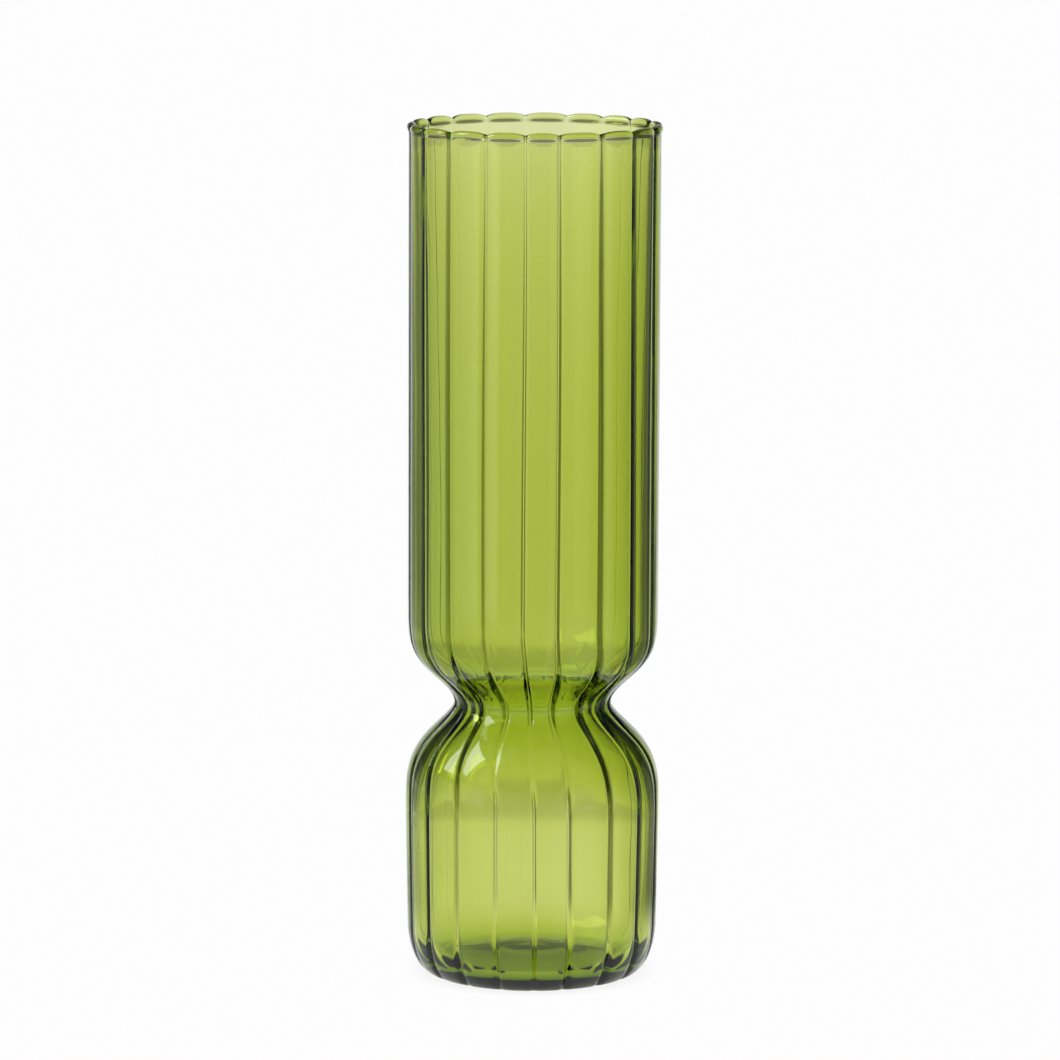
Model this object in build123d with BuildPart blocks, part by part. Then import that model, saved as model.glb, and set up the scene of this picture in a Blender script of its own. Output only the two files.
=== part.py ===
"""Fluted bud vase in clear green glass, with a pinched waist between a tall tube and a round bulb.

The vase is one hollow shell. It is built as the sections that a glass-worker forms one after
another, each a closed solid that meets its neighbours face to face on a level plane:
rim bead, upper tube, upper shoulder, lower shoulder, bulb wall, heel and punted floor.

Units are millimetres. +Z is up, the origin is the centre of the foot ring on the table,
and -Y is the front.
"""

import os
from math import cos, exp, log, radians, sin, sqrt

from build123d import *

# Levels above the table, and heights of the sections
vase_height = 200.0
waist_level = 64.2
heel_height = 12.0
floor_level = 3.2
bead_height = 2.4
upper_shoulder_height = 20.0
lower_shoulder_height = 20.2

# Radii over the flute crests
tube_radius = 29.3
waist_radius = 18.4
heel_radius = 29.3
bulb_flare = 0.95
foot_radius = 23.5

# Glass: the tube thins out towards the rim, the bulb is blown thinner than the tube,
# and drawing in the waist gathers glass round it
tube_wall = 2.25
rim_wall = 1.3
bulb_wall_thickness = 1.5
bead_swell = 0.4
foot_ring_width = 2.2
waist_gather = 1.0
gather_reach_above = 7.0
gather_squareness_above = 2.0
gather_reach_below = 18.0
gather_squareness_below = 4.0

# Flutes
flute_count = 19
flute_depth = 1.0
inner_softening = 0.5
foot_flute_share = 0.15
front_crest_angle = -84.0
waist_twist = 5.7

# Pinch of the waist: half-way distance and squareness of the shoulder above and below
upper_pinch = 7.0
upper_squareness = 2.0
lower_pinch = 7.1
lower_squareness = 1.7

# Punt under the floor, and the dome that it raises inside
punt_rise = 2.3
floor_dome_rise = 3.0

# Number of sections that each smooth surface is drawn through
tube_sections = 6
shoulder_sections = 9
bulb_sections = 5
heel_sections = 7

flute_pitch = 360.0 / flute_count
bead_bottom = vase_height - bead_height
tube_bottom = waist_level + upper_shoulder_height
bulb_top = waist_level - lower_shoulder_height
floor_radius = foot_radius - foot_ring_width


def bell(distance, half_way, squareness):
    """Bell curve: 1 at no distance and a half at the half-way distance."""
    return exp(-log(2) * (distance / half_way) ** squareness)


def pinch(level):
    """Share of the full pinch: 1 at the waist, running out to 0 at the tube and at the heel."""
    distance = abs(level - waist_level)
    if level > waist_level:
        end = tube_bottom - waist_level
        shape = (upper_pinch, upper_squareness)
    else:
        end = waist_level - heel_height
        shape = (lower_pinch, lower_squareness)
    tail = bell(end, *shape)
    return (bell(min(distance, end), *shape) - tail) / (1 - tail)


def full_radius(level):
    """Crest radius that the wall would have without the waist: straight above, flared below."""
    if level > waist_level:
        return tube_radius
    return heel_radius + bulb_flare * (level - heel_height) / (waist_level - heel_height)


def outer_radius(level):
    """Radius over the flute crests above the heel: the full radius less the waist's pinch."""
    return full_radius(level) - (full_radius(level) - waist_radius) * pinch(level)


def shoulder_share(level):
    """How far a level is up the two shoulders: 0 at the bulb's top, 1 at the tube's bottom."""
    return min(1.0, max(0.0, (level - bulb_top) / (tube_bottom - bulb_top)))


def gather(level):
    """Share of the glass gathered at the waist: a narrow bell above it, a broad one below it."""
    if level > waist_level:
        return bell(level - waist_level, gather_reach_above, gather_squareness_above)
    return bell(waist_level - level, gather_reach_below, gather_squareness_below)


def wall_thickness(level):
    """Thickness square to the wall: bulb to tube across the shoulders, the gather, the taper."""
    plain_wall = bulb_wall_thickness + (tube_wall - bulb_wall_thickness) * shoulder_share(level)
    tube_share = min(1.0, max(0.0, (level - tube_bottom) / (bead_bottom - tube_bottom)))
    return plain_wall + waist_gather * gather(level) - (tube_wall - rim_wall) * tube_share**3


def inner_radius(level):
    """Radius of the inside: the outer radius less the wall, measured square to the slope."""
    step = 0.05
    slope = (outer_radius(level + step) - outer_radius(level - step)) / (2 * step)
    return outer_radius(level) - wall_thickness(level) * sqrt(1 + slope**2)


def crest_angle(level):
    """Direction of one flute crest: the flutes twist evenly from bulb to tube past the waist."""
    return front_crest_angle + waist_twist * (1 - shoulder_share(level))


def polar(radius, angle):
    """Point in the section plane at a radius and an angle in degrees."""
    return (radius * cos(radians(angle)), radius * sin(radians(angle)))


def fluted_face(level, radius, depth):
    """Level face bounded by one convex arc per flute, from crease over crest to crease."""
    with BuildSketch(Plane.XY.offset(level)) as face:
        with BuildLine():
            for flute in range(flute_count):
                crest = crest_angle(level) + flute * flute_pitch
                ThreePointArc(
                    polar(radius - depth, crest - flute_pitch / 2),
                    polar(radius, crest),
                    polar(radius - depth, crest + flute_pitch / 2),
                )
        make_face()
    return face.sketch


def outer_face(level):
    """Outside of the shell at a level. The flutes get shallower as the wall draws in."""
    radius = outer_radius(level)
    return fluted_face(level, radius, flute_depth * radius / tube_radius)


def inner_face(level):
    """Inside of the shell at a level, with softer flutes than the outside."""
    depth = inner_softening * flute_depth * outer_radius(level) / tube_radius
    return fluted_face(level, inner_radius(level), depth)


def levels_between(low, high, count):
    """Evenly spaced levels from low to high, both included."""
    return [low + (high - low) * index / (count - 1) for index in range(count)]


def finish(section, name):
    """Label a section of the vase and write its file."""
    section.part.label = name
    export_step(section.part, f"parts/{name}.step")


os.makedirs("parts", exist_ok=True)

# Rim bead: the fire-polished lip, swollen past the wall on both sides and rounded over the top.
# Each station is the share of the bead's height, and the swell there as a share of the wall's.
bead_stations = [(0.0, 0.0), (0.3, 0.75), (0.6, 1.0), (0.85, 0.3), (1.0, -1.0)]
bead_outer = []
bead_inner = []
for height_share, swell_share in bead_stations:
    level = bead_bottom + bead_height * height_share
    swell = bead_swell * swell_share
    bead_outer.append(fluted_face(level, tube_radius + swell, flute_depth))
    bead_inner.append(
        fluted_face(level, tube_radius - rim_wall - swell, inner_softening * flute_depth)
    )

with BuildPart() as rim_bead:
    loft(sections=bead_outer)
    loft(sections=bead_inner, mode=Mode.SUBTRACT)
finish(rim_bead, "rim_bead")

# Upper tube: straight fluted outside from the shoulder to the bead, and a bore that opens out
# a little as the wall thins towards the rim
with BuildPart() as upper_tube:
    extrude(
        fluted_face(tube_bottom, tube_radius, flute_depth),
        amount=bead_bottom - tube_bottom,
    )
    tube_levels = levels_between(tube_bottom, bead_bottom, tube_sections)
    loft(sections=[inner_face(level) for level in tube_levels], mode=Mode.SUBTRACT)
finish(upper_tube, "upper_tube")

# Shoulders: the funnel above the waist and the dome below it, meeting at the narrowest level
with BuildPart() as upper_shoulder:
    shoulder_levels = levels_between(waist_level, tube_bottom, shoulder_sections)
    loft(sections=[outer_face(level) for level in shoulder_levels])
    loft(sections=[inner_face(level) for level in shoulder_levels], mode=Mode.SUBTRACT)
finish(upper_shoulder, "upper_shoulder")

with BuildPart() as lower_shoulder:
    shoulder_levels = levels_between(bulb_top, waist_level, shoulder_sections)
    loft(sections=[outer_face(level) for level in shoulder_levels])
    loft(sections=[inner_face(level) for level in shoulder_levels], mode=Mode.SUBTRACT)
finish(lower_shoulder, "lower_shoulder")

# Bulb wall: from the top of the heel to the widest part of the vase
with BuildPart() as bulb_wall:
    bulb_levels = levels_between(heel_height, bulb_top, bulb_sections)
    loft(sections=[outer_face(level) for level in bulb_levels])
    loft(sections=[inner_face(level) for level in bulb_levels], mode=Mode.SUBTRACT)
finish(bulb_wall, "bulb_wall")

# Heel: the wall turns in along a quarter ellipse to the foot ring, and the flutes fade out.
# The inside turns in the same way, and its creases end on the edge of the floor.
heel_flute_depth = flute_depth * outer_radius(heel_height) / tube_radius
floor_edge = floor_radius + inner_softening * heel_flute_depth * foot_flute_share
heel_outer = []
heel_inner = []
for turn in levels_between(0.0, 90.0, heel_sections):
    reach = sin(radians(turn))
    lift = 1 - cos(radians(turn))
    depth = heel_flute_depth * (foot_flute_share + (1 - foot_flute_share) * reach)
    outer_level = heel_height * lift
    inner_level = floor_level + (heel_height - floor_level) * lift
    outer_reach = foot_radius + (outer_radius(heel_height) - foot_radius) * reach
    inner_reach = floor_edge + (inner_radius(heel_height) - floor_edge) * reach
    heel_outer.append(fluted_face(outer_level, outer_reach, depth))
    heel_inner.append(fluted_face(inner_level, inner_reach, inner_softening * depth))

with BuildPart() as heel:
    loft(sections=heel_outer)
    loft(sections=heel_inner, mode=Mode.SUBTRACT)
    with BuildSketch() as floor_seat:
        Circle(floor_radius)
    extrude(amount=floor_level, mode=Mode.SUBTRACT)
finish(heel, "heel")

# Punted floor: a disc pushed up in the middle, so that the vase stands on the heel's foot ring
with BuildPart() as punted_floor:
    with BuildSketch(Plane.XZ) as floor_profile:
        with BuildLine():
            TangentArc((0, punt_rise), (floor_radius, 0), tangent=(1, 0))
            Line((floor_radius, 0), (floor_radius, floor_level))
            TangentArc((0, floor_level + floor_dome_rise), (floor_radius, floor_level), tangent=(1, 0))
            Line((0, floor_level + floor_dome_rise), (0, punt_rise))
        make_face()
    revolve(axis=Axis.Z)
finish(punted_floor, "punted_floor")
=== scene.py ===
"""Fluted bud vase in lime-green glass on a pale studio floor.

The glass is one unbroken skin: a closed profile, drawn from the middle of the underside, up the
outside, over the fire-polished lip and down the inside to the middle of the floor, is carried
round the axis, and every ring of it is pushed in at the creases between the flutes.
All lengths are in metres, +Z is up and -Y is the front, as in the CAD frame.
"""

import math

import bpy
import numpy as np
from mathutils import Matrix, Vector


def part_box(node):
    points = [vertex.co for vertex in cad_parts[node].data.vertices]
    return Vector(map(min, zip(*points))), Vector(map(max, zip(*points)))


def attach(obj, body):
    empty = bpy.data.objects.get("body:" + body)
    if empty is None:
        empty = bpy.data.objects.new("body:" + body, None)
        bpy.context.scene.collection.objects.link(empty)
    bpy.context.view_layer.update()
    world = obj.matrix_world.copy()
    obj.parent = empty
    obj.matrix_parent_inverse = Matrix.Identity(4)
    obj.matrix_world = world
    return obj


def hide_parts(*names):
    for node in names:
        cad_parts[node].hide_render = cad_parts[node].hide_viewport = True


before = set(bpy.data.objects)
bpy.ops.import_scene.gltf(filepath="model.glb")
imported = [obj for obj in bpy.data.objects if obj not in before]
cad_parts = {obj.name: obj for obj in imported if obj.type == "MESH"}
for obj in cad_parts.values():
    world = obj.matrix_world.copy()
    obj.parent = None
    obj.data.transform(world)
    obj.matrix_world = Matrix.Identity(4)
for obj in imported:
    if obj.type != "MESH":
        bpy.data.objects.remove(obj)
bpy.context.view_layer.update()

MM = 0.001
SCENE = bpy.context.scene

# ---------------------------------------------------------------- sizes that come from the CAD
VASE_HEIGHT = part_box("rim_bead")[1].z
BEAD_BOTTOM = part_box("rim_bead")[0].z
TUBE_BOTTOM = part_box("upper_tube")[0].z
WAIST_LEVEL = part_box("upper_shoulder")[0].z
BULB_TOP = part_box("bulb_wall")[1].z
HEEL_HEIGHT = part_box("heel")[1].z
FLOOR_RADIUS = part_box("punted_floor")[1].x
FLOOR_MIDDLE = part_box("punted_floor")[1].z

# ---------------------------------------------------------------- sizes of the glass itself
# Radii over the flute crests, and the pinch of the waist by its half-way distance and squareness
TUBE_RADIUS = 29.3 * MM
WAIST_RADIUS = 18.4 * MM
HEEL_RADIUS = 29.3 * MM
BULB_FLARE = 0.95 * MM
FOOT_RADIUS = FLOOR_RADIUS + 2.2 * MM
UPPER_PINCH, UPPER_SQUARENESS = 7.0 * MM, 2.0
LOWER_PINCH, LOWER_SQUARENESS = 7.1 * MM, 1.7

# Thickness of the glass, the gather at the waist by its half-way distance and squareness, and
# the step over which the wall's slope is measured
TUBE_WALL = 2.25 * MM
RIM_WALL = 1.3 * MM
BULB_WALL = 1.5 * MM
WAIST_GATHER = 1.0 * MM
UPPER_GATHER, UPPER_GATHER_SQUARENESS = 7.0 * MM, 2.0
LOWER_GATHER, LOWER_GATHER_SQUARENESS = 20.0 * MM, 5.0
SLOPE_STEP = 0.05 * MM

# Lip, floor and punt, with the small raised disc that a pontil leaves under the floor
BEAD_SWELL = 0.40 * MM
RIM_DIP = 0.7 * MM
FLOOR_LEVEL = 3.2 * MM
FLOOR_DOME = FLOOR_MIDDLE - FLOOR_LEVEL
PUNT_RISE = 2.3 * MM
PONTIL_RADIUS, PONTIL_EDGE = 7.7 * MM, 1.3 * MM
PONTIL_STEP = 0.35 * MM

# Flutes: the depth of the lobes, and the creases between them: a depth as a share of the wall,
# up to the deepest, and a width as a share of half a flute
FLUTES = 19
FLUTE_PITCH = 2 * math.pi / FLUTES
FRONT_CREST = math.radians(-84.0)
WAIST_TWIST = math.radians(5.7)
LOBE_DEPTH = 0.38 * MM
FOOT_LOBE_SHARE = 0.15
CREASE_SHARE = 0.5
DEEPEST_CREASE = 1.1 * MM
FOOT_CREASE_SHARE = 0.5
CREASE_WIDTH = 0.14
WAIST_CREASE_WIDENING = 1.2
HEEL_CREASE_WIDENING = 1.2

# Crispness of the creases, 1 for a full one: how it runs from the back round to the front, the
# deeper creases at the front right, and the soft stretch in front just under the waist
BACK_CRISPNESS = 0.12
CRISP_AT_SIDE, CRISP_TOWARDS_FRONT = 0.25, 1.3
DEEP_CREASES, DEEP_CREASES_REACH = math.radians(-62), math.radians(20)
DEEPER_SHARE = 0.5
FRONT = -math.pi / 2
SOFT_LEVEL, SOFT_REACH = 54.0 * MM, 6.5 * MM
SOFT_TURN = math.radians(30)
SOFTER_SHARE = 0.85
PATCH_SQUARENESS = 4

# Wander of the flutes, its amounts in degrees: the lean at the foot and what the height adds to
# it, waves round the vase (amount, count, start), waves up it (amount, length, turns round it),
# and creases out of line (place, amount, half-way distance)
LEAN_AT_FOOT, LEAN_WITH_HEIGHT = -0.9, -0.5
SWAYS = [(0.30, 3, 1.0), (0.25, 7, 2.0)]
RISE, RISE_LENGTH, RISE_TURNS = 0.30, 170 * MM, 3
STRAY_CREASES = [
    (math.radians(-74.5), -2.4, math.radians(7)),
    (DEEP_CREASES, -1.6, math.radians(8)),
]
STRAY_SQUARENESS = 2

# Points along each stretch of the profile and across one flute, and how much the latter crowd
# towards the creases
PUNT_POINTS = (4, 7, 8)
HEEL_POINTS = 20
BULB_POINTS, LOWER_SHOULDER_POINTS, UPPER_SHOULDER_POINTS, TUBE_POINTS = 11, 29, 31, 23
BEAD_POINTS, LIP_POINTS = 6, 13
FLOOR_POINTS = 10
POINTS_PER_FLUTE = 18
CROWDING = 0.27


# ---------------------------------------------------------------- the profile
def bell(distance, half_way, squareness):
    """Bell curve: 1 at no distance, a half at the half-way distance."""
    return np.exp(-np.log(2) * (distance / half_way) ** squareness)


def pinch(level):
    """Share of the waist's pinch at each level: a bell above and a squarer bell below."""
    above = bell(np.maximum(level - WAIST_LEVEL, 0), UPPER_PINCH, UPPER_SQUARENESS)
    below = bell(np.maximum(WAIST_LEVEL - level, 0), LOWER_PINCH, LOWER_SQUARENESS)
    return above * below


def full_radius(level):
    """Crest radius without the waist: straight above it, gently flared from the heel below it."""
    share = (level - HEEL_HEIGHT) / (WAIST_LEVEL - HEEL_HEIGHT)
    return np.where(level > WAIST_LEVEL, TUBE_RADIUS, HEEL_RADIUS + BULB_FLARE * share)


def outer_radius(level):
    """Crest radius: the full radius less its way down to the waist radius, times the pinch."""
    full = full_radius(level)
    return full - (full - WAIST_RADIUS) * pinch(level)


def wall_thickness(level):
    """Thickness square to the wall, close to the CAD's.

    Bulb to tube evenly across the shoulders, a gather at the waist (a narrow bell above it and a
    broad one below), and a taper with the cube of the way up the tube.
    """
    shoulder = np.clip((level - BULB_TOP) / (TUBE_BOTTOM - BULB_TOP), 0, 1)
    above = bell(np.maximum(level - WAIST_LEVEL, 0), UPPER_GATHER, UPPER_GATHER_SQUARENESS)
    below = bell(np.maximum(WAIST_LEVEL - level, 0), LOWER_GATHER, LOWER_GATHER_SQUARENESS)
    tube = np.clip((level - TUBE_BOTTOM) / (BEAD_BOTTOM - TUBE_BOTTOM), 0, 1)
    plain = BULB_WALL + (TUBE_WALL - BULB_WALL) * shoulder
    return plain + WAIST_GATHER * above * below - (TUBE_WALL - RIM_WALL) * tube**3


def crease_depth(level):
    """Depth of the creases: a share of the wall's thickness, up to the deepest."""
    return np.minimum(CREASE_SHARE * wall_thickness(level), DEEPEST_CREASE)


def inner_radius(level):
    """Crest radius of the inside: the wall's thickness, measured square to the slope."""
    rise = outer_radius(level + SLOPE_STEP) - outer_radius(level - SLOPE_STEP)
    slope = rise / (2 * SLOPE_STEP)
    return outer_radius(level) - wall_thickness(level) * np.sqrt(1 + slope**2)


def wall_levels():
    """Levels from the heel to the bead: close together at the waist, wide apart on the tube."""
    bulb = np.linspace(HEEL_HEIGHT, BULB_TOP, BULB_POINTS)
    below = np.linspace(BULB_TOP, WAIST_LEVEL, LOWER_SHOULDER_POINTS)[1:]
    above = np.linspace(WAIST_LEVEL, TUBE_BOTTOM, UPPER_SHOULDER_POINTS)[1:]
    tube = np.linspace(TUBE_BOTTOM, BEAD_BOTTOM, TUBE_POINTS)[1:]
    return np.concatenate([bulb, below, above, tube])


def smooth_step(share):
    """0 to 1 with no slope at either end: 3 s^2 - 2 s^3, with s held between 0 and 1."""
    held = np.clip(share, 0, 1)
    return held**2 * (3 - 2 * held)


def profile():
    """The closed profile as rows of: radius, level, lobe depth, crease depth, swell and drop.

    Underside: a punt arc (a parabola) with a small raised pontil disc, out to the foot ring.
    Heel: a quarter ellipse. Wall: the pinched radius. Lip: a half circle swollen past the wall.
    Then the inside, back down, with the same lobes but without creases. The swell and the drop
    shape the lip: it swells between the creases and drops at them.
    """
    parts = []

    def add(radius, level, lobes, creases, swell=0.0, drop=0.0):
        columns = np.broadcast_arrays(radius, level, lobes, creases, swell, drop)
        parts.append(np.stack(columns, axis=1))

    near = PONTIL_RADIUS - PONTIL_EDGE
    past = PONTIL_RADIUS + PONTIL_EDGE
    ends = [(0, near), (near, past), (past, FLOOR_RADIUS)]
    stretches = [np.linspace(*pair, count) for pair, count in zip(ends, PUNT_POINTS)]
    radius = np.concatenate([stretch[1:] for stretch in stretches])
    punt = PUNT_RISE * (1 - (radius / FLOOR_RADIUS) ** 2)
    pontil = PONTIL_STEP * (1 - smooth_step((radius - near) / (past - near)))
    add(radius, punt + pontil, 0.0, 0.0)

    turn = np.linspace(0, math.pi / 2, HEEL_POINTS)
    reach = np.sin(turn)
    outer_reach = FOOT_RADIUS + (outer_radius(HEEL_HEIGHT) - FOOT_RADIUS) * reach
    heel_level = HEEL_HEIGHT * (1 - np.cos(turn))
    heel_lobes = LOBE_DEPTH * (FOOT_LOBE_SHARE + (1 - FOOT_LOBE_SHARE) * reach)
    crease_share = FOOT_CREASE_SHARE + (1 - FOOT_CREASE_SHARE) * reach
    heel_creases = crease_depth(HEEL_HEIGHT) * crease_share
    add(outer_reach, heel_level, heel_lobes, heel_creases)

    levels = wall_levels()
    lobes = LOBE_DEPTH * outer_radius(levels) / TUBE_RADIUS
    add(outer_radius(levels)[1:], levels[1:], lobes[1:], crease_depth(levels)[1:])

    middle = TUBE_RADIUS - RIM_WALL / 2
    half_width = RIM_WALL / 2 + BEAD_SWELL
    rising = np.linspace(0, 1, BEAD_POINTS)[1:]
    bead_centre = VASE_HEIGHT - half_width
    swell = BEAD_SWELL * np.sin(rising * math.pi / 2) ** 2
    rise = BEAD_BOTTOM + (bead_centre - BEAD_BOTTOM) * rising
    drop = (RIM_DIP - BEAD_SWELL) * rising
    rim_crease = crease_depth(BEAD_BOTTOM)
    add(TUBE_RADIUS, rise, LOBE_DEPTH, rim_crease, swell, drop)
    over = np.linspace(0, math.pi, LIP_POINTS)[1:-1]
    across, up = np.cos(over), np.sin(over)
    lip_reach = middle + RIM_WALL / 2 * across
    lip_drop = RIM_DIP - BEAD_SWELL * (1 - up)
    lip_crease = rim_crease * (1 + across) / 2
    lip_level = bead_centre + half_width * up
    add(lip_reach, lip_level, LOBE_DEPTH, lip_crease, BEAD_SWELL * across, lip_drop)
    bore = middle - RIM_WALL / 2
    add(bore, rise[::-1], LOBE_DEPTH, 0.0, -swell[::-1], drop[::-1])

    add(inner_radius(levels)[::-1], levels[::-1], lobes[::-1], 0.0)

    turn = turn[::-1][1:]
    reach = np.sin(turn)
    inner_reach = FLOOR_RADIUS + (inner_radius(HEEL_HEIGHT) - FLOOR_RADIUS) * reach
    level = FLOOR_LEVEL + (HEEL_HEIGHT - FLOOR_LEVEL) * (1 - np.cos(turn))
    add(inner_reach, level, LOBE_DEPTH * reach, 0.0)

    share = np.linspace(1, 0, FLOOR_POINTS)[1:-1]
    add(FLOOR_RADIUS * share, FLOOR_LEVEL + FLOOR_DOME * (1 - share**2), 0.0, 0.0)
    return np.concatenate(parts)


def uneven(angle, level):
    """Small wander of the flutes round the vase, in radians, as hand-worked glass has.

    A lean, two slow sines round the vase and one up it, and two creases at the front right that
    stand closer to their neighbours, each by a bell curve round its place.
    """
    lean = LEAN_AT_FOOT + LEAN_WITH_HEIGHT * np.clip(level / VASE_HEIGHT, 0, 1)
    sway = sum(amount * np.sin(count * angle + start) for amount, count, start in SWAYS)
    rise = RISE * np.sin(2 * math.pi * level / RISE_LENGTH + RISE_TURNS * angle)
    stray = sum(
        amount * bell(np.abs(angle - place), half_way, STRAY_SQUARENESS)
        for place, amount, half_way in STRAY_CREASES
    )
    return np.radians(lean + sway + rise + stray)


def flute_places():
    """Places across one flute from -1 to 1, crowded towards the creases by a sine."""
    even = np.linspace(-1, 1, POINTS_PER_FLUTE, endpoint=False)
    return even + CROWDING * np.sin(math.pi * even)


def crispness(angle, level):
    """Share of the full crease at each place.

    A smooth step from the back round to the front, raised by a bell curve at the deep creases,
    and lowered in a patch in front just under the waist.
    """
    round_vase = smooth_step(CRISP_AT_SIDE - CRISP_TOWARDS_FRONT * np.sin(angle))
    deeper = bell(np.abs(angle - DEEP_CREASES), DEEP_CREASES_REACH, PATCH_SQUARENESS)
    in_front = bell(np.abs(angle - FRONT), SOFT_TURN, PATCH_SQUARENESS)
    under_waist = bell(np.abs(level - SOFT_LEVEL), SOFT_REACH, PATCH_SQUARENESS)
    crisp = BACK_CRISPNESS + (1 - BACK_CRISPNESS) * round_vase
    return crisp * (1 + DEEPER_SHARE * deeper) * (1 - SOFTER_SHARE * in_front * under_waist)


def glass_skin():
    """Closed mesh of the vase: rings of points along the profile, and a pole at each end.

    Across a flute, with s from -1 to 1, the radius falls by the lobe's depth times s squared,
    and near the creases by a groove, a smooth step in s. The lip drops with the cube of s.
    """
    rows = profile()
    radius, level, lobes, creases, swell, drop = (rows[:, [i]] for i in range(6))
    place = np.tile(flute_places(), FLUTES)[None, :]
    flute = np.repeat(np.arange(FLUTES), POINTS_PER_FLUTE)[None, :]

    twist = np.clip((level - BULB_TOP) / (TUBE_BOTTOM - BULB_TOP), 0, 1)
    angle = FRONT_CREST + WAIST_TWIST * (1 - twist) + (flute + place / 2) * FLUTE_PITCH
    angle = (angle + math.pi) % (2 * math.pi) - math.pi
    angle = angle + uneven(angle, level)
    heel = np.maximum(1 - level / HEEL_HEIGHT, 0)
    width = CREASE_WIDTH * (1 + WAIST_CREASE_WIDENING * pinch(level) + HEEL_CREASE_WIDENING * heel)
    groove = smooth_step((np.abs(place) - 1 + width) / width)
    edge = np.abs(place) ** 3
    sunk = crispness(angle, level) * (lobes * place**2 + creases * groove)
    reach = radius + swell * (1 - edge) - sunk
    points = np.stack([reach * np.cos(angle), reach * np.sin(angle), level - drop * edge], axis=2)

    rings, around = points.shape[:2]
    under = np.array([[0, 0, PUNT_RISE]])
    inside = np.array([[0, 0, FLOOR_LEVEL + FLOOR_DOME]])
    vertices = np.concatenate([points.reshape(-1, 3), under, inside])

    column = np.arange(around)
    beside = (column + 1) % around
    ring = np.arange(rings - 1)[:, None] * around
    after = ring + around
    quads = np.stack([ring + column, ring + beside, after + beside, after + column], axis=2)
    lower_pole, upper_pole = rings * around, rings * around + 1
    first = np.stack([beside, column, np.full(around, lower_pole)], axis=1)
    last_ring = (rings - 1) * around
    last = np.stack([last_ring + column, last_ring + beside, np.full(around, upper_pole)], axis=1)
    faces = quads.reshape(-1, 4).tolist() + first.tolist() + last.tolist()

    mesh = bpy.data.meshes.new("fluted_glass")
    mesh.from_pydata(vertices.tolist(), [], faces)
    mesh.validate()
    mesh.shade_smooth()
    vase = bpy.data.objects.new("fluted_glass", mesh)
    SCENE.collection.objects.link(vase)
    return vase


# ---------------------------------------------------------------- materials
def new_material(name):
    """Empty node material with its output, as (material, nodes, links, output)."""
    material = bpy.data.materials.new(name)
    material.use_nodes = True
    nodes, links = material.node_tree.nodes, material.node_tree.links
    nodes.clear()
    return material, nodes, links, nodes.new("ShaderNodeOutputMaterial")


def lime_glass():
    """Clear glass that swallows blue and a little red along the light's way through it."""
    material, nodes, links, output = new_material("lime_green_glass")
    skin = nodes.new("ShaderNodeBsdfPrincipled")
    skin.inputs["Base Color"].default_value = (1.0, 1.0, 1.0, 1.0)
    skin.inputs["Metallic"].default_value = 0.0
    skin.inputs["IOR"].default_value = 1.48
    skin.inputs["Transmission Weight"].default_value = 1.0

    place = nodes.new("ShaderNodeTexCoord")
    drawn = nodes.new("ShaderNodeMapping")
    drawn.inputs["Scale"].default_value = (90.0, 90.0, 16.0)
    waves = nodes.new("ShaderNodeTexNoise")
    waves.inputs["Scale"].default_value = 1.0
    waves.inputs["Detail"].default_value = 2.0
    haze = nodes.new("ShaderNodeMapRange")
    haze.inputs["From Min"].default_value = 0.40
    haze.inputs["From Max"].default_value = 0.75
    haze.inputs["To Min"].default_value = 0.0
    haze.inputs["To Max"].default_value = 0.04
    links.new(waves.outputs["Fac"], haze.inputs["Value"])
    links.new(haze.outputs["Result"], skin.inputs["Roughness"])
    ripple = nodes.new("ShaderNodeBump")
    ripple.inputs["Strength"].default_value = 0.15
    ripple.inputs["Distance"].default_value = 0.001
    links.new(place.outputs["Object"], drawn.inputs["Vector"])
    links.new(drawn.outputs["Vector"], waves.inputs["Vector"])
    links.new(waves.outputs["Fac"], ripple.inputs["Height"])
    links.new(ripple.outputs["Normal"], skin.inputs["Normal"])

    body = nodes.new("ShaderNodeVolumeAbsorption")
    body.inputs["Color"].default_value = (0.727, 0.798, 0.026, 1.0)
    body.inputs["Density"].default_value = 660.0

    links.new(skin.outputs["BSDF"], output.inputs["Surface"])
    links.new(body.outputs["Volume"], output.inputs["Volume"])
    return material


def sums(nodes, links, operation, first, second):
    """Output of a Math node; each input is a number or another node's output."""
    node = nodes.new("ShaderNodeMath")
    node.operation = operation
    for socket, value in zip(node.inputs, (first, second)):
        if isinstance(value, (int, float)):
            socket.default_value = value
        else:
            links.new(value, socket)
    return node.outputs[0]


def ramp(nodes, links, value, low, high, at_low, at_high):
    """Output of a Map Range node: smooth step from one value to another."""
    node = nodes.new("ShaderNodeMapRange")
    node.interpolation_type = "SMOOTHSTEP"
    links.new(value, node.inputs["Value"])
    names = ("From Min", "From Max", "To Min", "To Max")
    for name, number in zip(names, (low, high, at_low, at_high)):
        node.inputs[name].default_value = number
    return node.outputs[0]


def blend(nodes, links, share, first, second):
    """Output of a Mix node on numbers; each input is a number or another node's output."""
    node = nodes.new("ShaderNodeMix")
    links.new(share, node.inputs["Factor"])
    for socket, value in zip((node.inputs["A"], node.inputs["B"]), (first, second)):
        if isinstance(value, (int, float)):
            socket.default_value = value
        else:
            links.new(value, socket)
    return node.outputs["Result"]


# Brightness of the studio's walls by direction, in degrees from +X: a lit sweep behind the vase
# with a dim wall on either side of it, a lit left side, a window at the front left, a paler
# front, a lit sweep at the front right and a dim right side
STUDIO_WALLS = [
    (-180, 0.75),
    (-158, 1.20),
    (-134, 1.50),
    (-122, 0.55),
    (-68, 0.55),
    (-58, 0.80),
    (-32, 0.80),
    (-18, 0.20),
    (50, 0.20),
    (66, 0.92),
    (114, 0.92),
    (130, 0.28),
    (152, 0.40),
    (168, 0.75),
    (180, 0.75),
]


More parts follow.
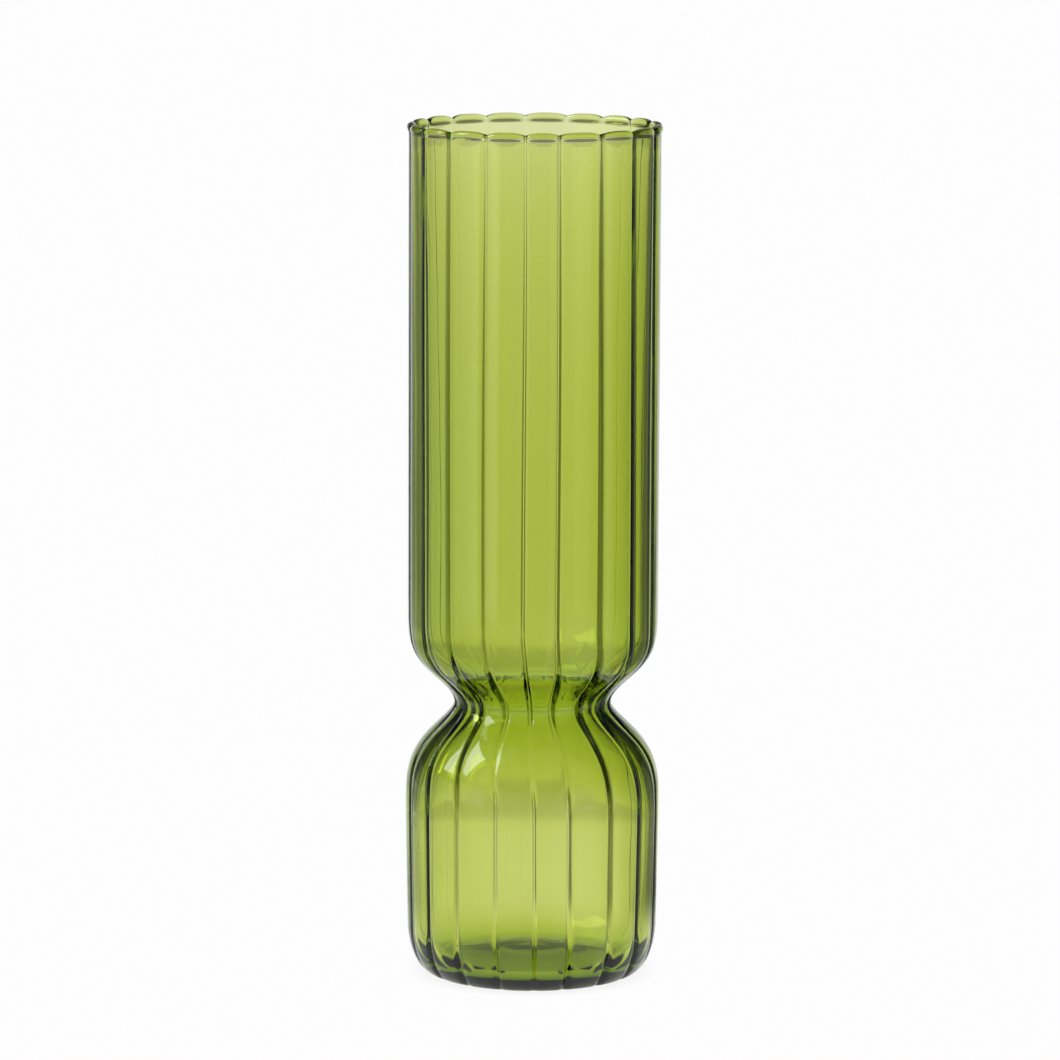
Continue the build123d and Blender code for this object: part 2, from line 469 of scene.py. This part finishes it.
# Brightness of the floor near the vase in the same way: in shade on the right, pale elsewhere
NEAR_FLOOR = [
    (-180, 0.60),
    (-75, 0.60),
    (-65, 0.90),
    (-25, 0.90),
    (-10, 0.30),
    (50, 0.25),
    (67, 0.97),
    (113, 0.97),
    (127, 0.66),
    (180, 0.60),
]

# Tones: what the camera sees of the floor and the air, the contact shade under the heel, the
# floor close to the vase, how much dimmer the belt is, and the air as shares of the walls' tones
PLAIN_TONE = 0.985
CONTACT_TONE = 0.90
CLOSE_TONE = 0.97
BELT_DIMMING = 0.22
AIR_SHARE, HIGH_AIR_SHARE = 0.80, 0.28
# Colour of the painted green shade on the floor under the foot, seen only through the glass
UNDER_FOOT_SHADE_COLOUR = (0.38, 0.46, 0.02, 1.0)

# Distances from the vase's axis over which the floor changes, and the rise of a ray (the sine
# of its height) over which the air does
UNDER_FOOT = (0.019, 0.028)
CONTACT = (0.024, 0.031)
CLOSE = (0.05, 0.10)
BELT_START = (0.19, 0.25)
BELT_END = (0.30, 0.36)
DISTANT = (0.38, 0.60)
HIGH_AIR = (0.12, 0.20)


def around(nodes, links, x, y, tones_by_turn):
    """Brightness in the direction (x, y), as a colour ramp over the turn."""
    turn = sums(nodes, links, "ARCTAN2", y, x)
    share = sums(nodes, links, "MULTIPLY_ADD", turn, 1 / (2 * math.pi))
    share.node.inputs[2].default_value = 0.5
    tones = nodes.new("ShaderNodeValToRGB")
    tones.color_ramp.interpolation = "EASE"
    stops = tones.color_ramp.elements
    while len(stops) < len(tones_by_turn):
        stops.new(0.5)
    for stop, (degrees, tone) in zip(stops, tones_by_turn):
        stop.position = degrees / 360 + 0.5
        stop.color = (tone, tone, tone, 1.0)
    links.new(share, tones.inputs["Fac"])
    return tones.outputs["Color"]


def pale_floor():
    """Pale studio floor, one plain tone for the camera but for a contact shade at the heel.

    For the glass it is pale close to the vase, then NEAR_FLOOR with a dimmer belt, then like the
    walls. Under the foot it has a painted green shade for the glass, dimmer, in place of the light
    that falls through the vase.
    """
    material, nodes, links, output = new_material("pale_floor")
    place = nodes.new("ShaderNodeNewGeometry")
    split = nodes.new("ShaderNodeSeparateXYZ")
    links.new(place.outputs["Position"], split.inputs[0])
    x, y = split.outputs[0], split.outputs[1]
    square = sums(nodes, links, "MULTIPLY", x, x)
    square = sums(nodes, links, "ADD", square, sums(nodes, links, "MULTIPLY", y, y))
    far = sums(nodes, links, "SQRT", square, 0.0)

    past_close = ramp(nodes, links, far, *CLOSE, 0.0, 1.0)
    near = blend(nodes, links, past_close, CLOSE_TONE, around(nodes, links, x, y, NEAR_FLOOR))
    into_belt = ramp(nodes, links, far, *BELT_START, 1.0, 1 - BELT_DIMMING)
    out_of_belt = ramp(nodes, links, far, *BELT_END, 0.0, -BELT_DIMMING)
    belt = sums(nodes, links, "SUBTRACT", into_belt, out_of_belt)
    near = sums(nodes, links, "MULTIPLY", near, belt)
    distant = ramp(nodes, links, far, *DISTANT, 0.0, 1.0)
    lit = blend(nodes, links, distant, near, around(nodes, links, x, y, STUDIO_WALLS))
    sight = nodes.new("ShaderNodeLightPath")
    contact = ramp(nodes, links, far, *CONTACT, CONTACT_TONE, PLAIN_TONE)
    strength = blend(nodes, links, sight.outputs["Is Camera Ray"], lit, contact)

    # Painted shade: for rays from the glass the floor under the foot is dimmed and turned green,
    # in place of light that falls through the vase
    under = ramp(nodes, links, far, *UNDER_FOOT, 1.0, 0.0)
    through_glass = sums(nodes, links, "SUBTRACT", 1.0, sight.outputs["Is Camera Ray"])
    under_foot_shade_share = sums(nodes, links, "MULTIPLY", under, through_glass)
    under_foot_shade = nodes.new("ShaderNodeMix")
    under_foot_shade.data_type = "RGBA"
    links.new(under_foot_shade_share, under_foot_shade.inputs["Factor"])
    under_foot_shade.inputs[6].default_value = (1.0, 1.0, 1.0, 1.0)
    under_foot_shade.inputs[7].default_value = UNDER_FOOT_SHADE_COLOUR

    glow = nodes.new("ShaderNodeEmission")
    links.new(under_foot_shade.outputs[2], glow.inputs["Color"])
    links.new(strength, glow.inputs["Strength"])
    links.new(glow.outputs[0], output.inputs["Surface"])
    return material


# ---------------------------------------------------------------- the piece
vase = glass_skin()
vase.data.materials.append(lime_glass())
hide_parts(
    "rim_bead",
    "upper_tube",
    "upper_shoulder",
    "lower_shoulder",
    "bulb_wall",
    "heel",
    "punted_floor",
)
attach(vase, "root")


# ---------------------------------------------------------------- studio
def floor_disc():
    """Round floor, wide enough to fill every view."""
    bpy.ops.mesh.primitive_circle_add(vertices=96, radius=14.0, fill_type="NGON")
    floor = bpy.context.object
    floor.name = "studio_floor"
    floor.data.materials.append(pale_floor())


floor_disc()


def turned_to(place, target):
    """Matrix that puts a light or a camera at a place and turns it to a target."""
    aim = Vector(target) - Vector(place)
    return Matrix.Translation(place) @ aim.to_track_quat("-Z", "Y").to_matrix().to_4x4()


def softbox(name, place, width, height, watts):
    """Rectangular area light at a place, turned to the middle of the vase."""
    lamp = bpy.data.lights.new(name, "AREA")
    lamp.shape = "RECTANGLE"
    lamp.size, lamp.size_y = width, height
    lamp.energy = watts
    holder = bpy.data.objects.new(name, lamp)
    SCENE.collection.objects.link(holder)
    holder.matrix_world = turned_to(place, (0, 0, VASE_HEIGHT / 2))


softbox("window_light", place=(-1.6, -0.15, 1.35), width=0.9, height=1.3, watts=22.0)


def studio_air():
    """World: pale for the camera; for the glass, the studio's walls, dimmer higher up."""
    world = bpy.data.worlds.new("studio_air")
    SCENE.world = world
    world.use_nodes = True
    nodes, links = world.node_tree.nodes, world.node_tree.links
    nodes.clear()
    output = nodes.new("ShaderNodeOutputWorld")
    air = nodes.new("ShaderNodeBackground")
    direction = nodes.new("ShaderNodeTexCoord")
    split = nodes.new("ShaderNodeSeparateXYZ")
    links.new(direction.outputs["Generated"], split.inputs[0])
    tones = around(nodes, links, split.outputs[0], split.outputs[1], STUDIO_WALLS)
    height = ramp(nodes, links, split.outputs[2], *HIGH_AIR, AIR_SHARE, HIGH_AIR_SHARE)
    tones = sums(nodes, links, "MULTIPLY", tones, height)
    sight = nodes.new("ShaderNodeLightPath")
    strength = blend(nodes, links, sight.outputs["Is Camera Ray"], tones, PLAIN_TONE)
    air.inputs["Color"].default_value = (1.0, 1.0, 1.0, 1.0)
    links.new(strength, air.inputs["Strength"])
    links.new(air.outputs[0], output.inputs["Surface"])


studio_air()


# ---------------------------------------------------------------- camera
CAMERA_PLACE = (0, -1.326, 0.3113)
CAMERA_TARGET = (-0.0008, 0, 0.1047)
CAMERA_ROLL = math.radians(0.26)
FOCAL_LENGTH, SENSOR_WIDTH = 195.1, 36.0


def add_camera():
    """Long lens, a little above the vase, looking down at its middle and rolled a touch."""
    lens = bpy.data.cameras.new("camera")
    lens.sensor_width = SENSOR_WIDTH
    lens.lens = FOCAL_LENGTH
    lens.clip_start, lens.clip_end = 0.05, 60.0
    camera = bpy.data.objects.new("camera", lens)
    SCENE.collection.objects.link(camera)
    roll = Matrix.Rotation(CAMERA_ROLL, 4, "Z")
    camera.matrix_world = turned_to(CAMERA_PLACE, CAMERA_TARGET) @ roll
    SCENE.camera = camera


add_camera()

SCENE.view_settings.view_transform = "Standard"
SCENE.view_settings.look = "None"
SCENE.cycles.max_bounces = 32
SCENE.cycles.transmission_bounces = 32
SCENE.cycles.glossy_bounces = 16
